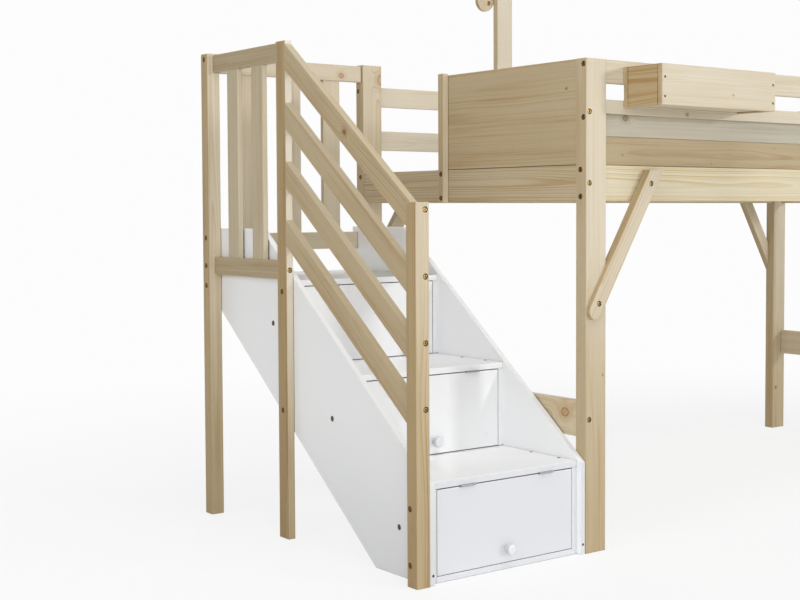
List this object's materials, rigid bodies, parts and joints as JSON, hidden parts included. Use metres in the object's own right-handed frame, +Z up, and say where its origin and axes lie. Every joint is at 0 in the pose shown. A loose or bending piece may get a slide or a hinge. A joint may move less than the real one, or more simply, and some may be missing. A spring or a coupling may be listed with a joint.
{
  "type": "loft bed with stairs",
  "caption": "Low pine loft bed with a white storage staircase at its end, flap doors under the treads, slatted railings and a small tray on the guard.",
  "frame": {"origin": "on the floor, under the middle of the whole object's outline, tray and knee braces included", "axes": "+X runs along the bed away from the staircase, +Y runs from the front with the doors and the tray to the back, +Z is up"},
  "size_m": [2.5246, 1.1726, 1.66],
  "materials": {
    "pine": "bare pine, planed, with fine grain and knots",
    "white_board": "white lacquered board, smooth satin",
    "hinge_steel": "plain zinc plated steel, satin"
  },
  "bodies": {
    "base": {"bed_post_front_left": "pine", "bed_post_back_left": "pine", "bed_post_front_right": "pine", "bed_post_back_right": "pine", "entry_post": "pine", "tall_post": "pine", "tall_post_arm": "pine", "side_rail_front": "pine", "side_rail_back": "pine", "end_rail_left": "pine", "end_rail_right": "pine", "cross_rail_left": "pine", "cross_rail_right": "pine", "mattress_base": "pine", "guard_front_top_rail": "pine", "guard_front_middle_rail": "pine", "guard_front_upper_board": "pine", "guard_front_lower_board": "pine", "guard_back_upper_slat": "pine", "guard_back_lower_slat": "pine", "end_panel_left": "pine", "end_panel_right": "pine", "knee_brace_front_left": "pine", "knee_brace_front_right": "pine", "knee_brace_back_left": "pine", "knee_brace_back_right": "pine", "tray_walls": "pine", "tray_floor": "pine", "stair_post_front": "pine", "stair_post_middle": "pine", "stair_post_back": "pine", "landing_side_railing": "pine", "landing_back_railing": "pine", "handrail_1": "pine", "handrail_2": "pine", "handrail_3": "pine", "handrail_4": "pine", "stair_panel_left": "white_board", "stair_panel_right": "white_board", "stair_floor": "white_board", "stair_back": "white_board", "tread_1": "white_board", "tread_2": "white_board", "landing_deck": "white_board", "stair_kick_rail": "white_board", "hinge_1_left": "hinge_steel", "hinge_1_right": "hinge_steel", "hinge_2_left": "hinge_steel", "hinge_2_right": "hinge_steel", "hinge_3_left": "hinge_steel", "hinge_3_right": "hinge_steel"},
    "door_1": {"door_1": "white_board", "knob_1": "white_board"},
    "door_2": {"door_2": "white_board", "knob_2": "white_board"},
    "door_3": {"door_3": "white_board", "knob_3": "white_board"}
  },
  "joints": [
    {"name": "door_1_hinge", "type": "hinge", "parent": "base", "child": "door_1", "pos_m": [-0.981, -0.4409, 0.2193], "axis": [-1, 0, 0], "range_deg": [0, 90]},
    {"name": "door_2_hinge", "type": "hinge", "parent": "base", "child": "door_2", "pos_m": [-0.981, -0.1509, 0.4423], "axis": [-1, 0, 0], "range_deg": [0, 90]},
    {"name": "door_3_hinge", "type": "hinge", "parent": "base", "child": "door_3", "pos_m": [-0.981, 0.1391, 0.6653], "axis": [-1, 0, 0], "range_deg": [0, 90]}
  ]
}
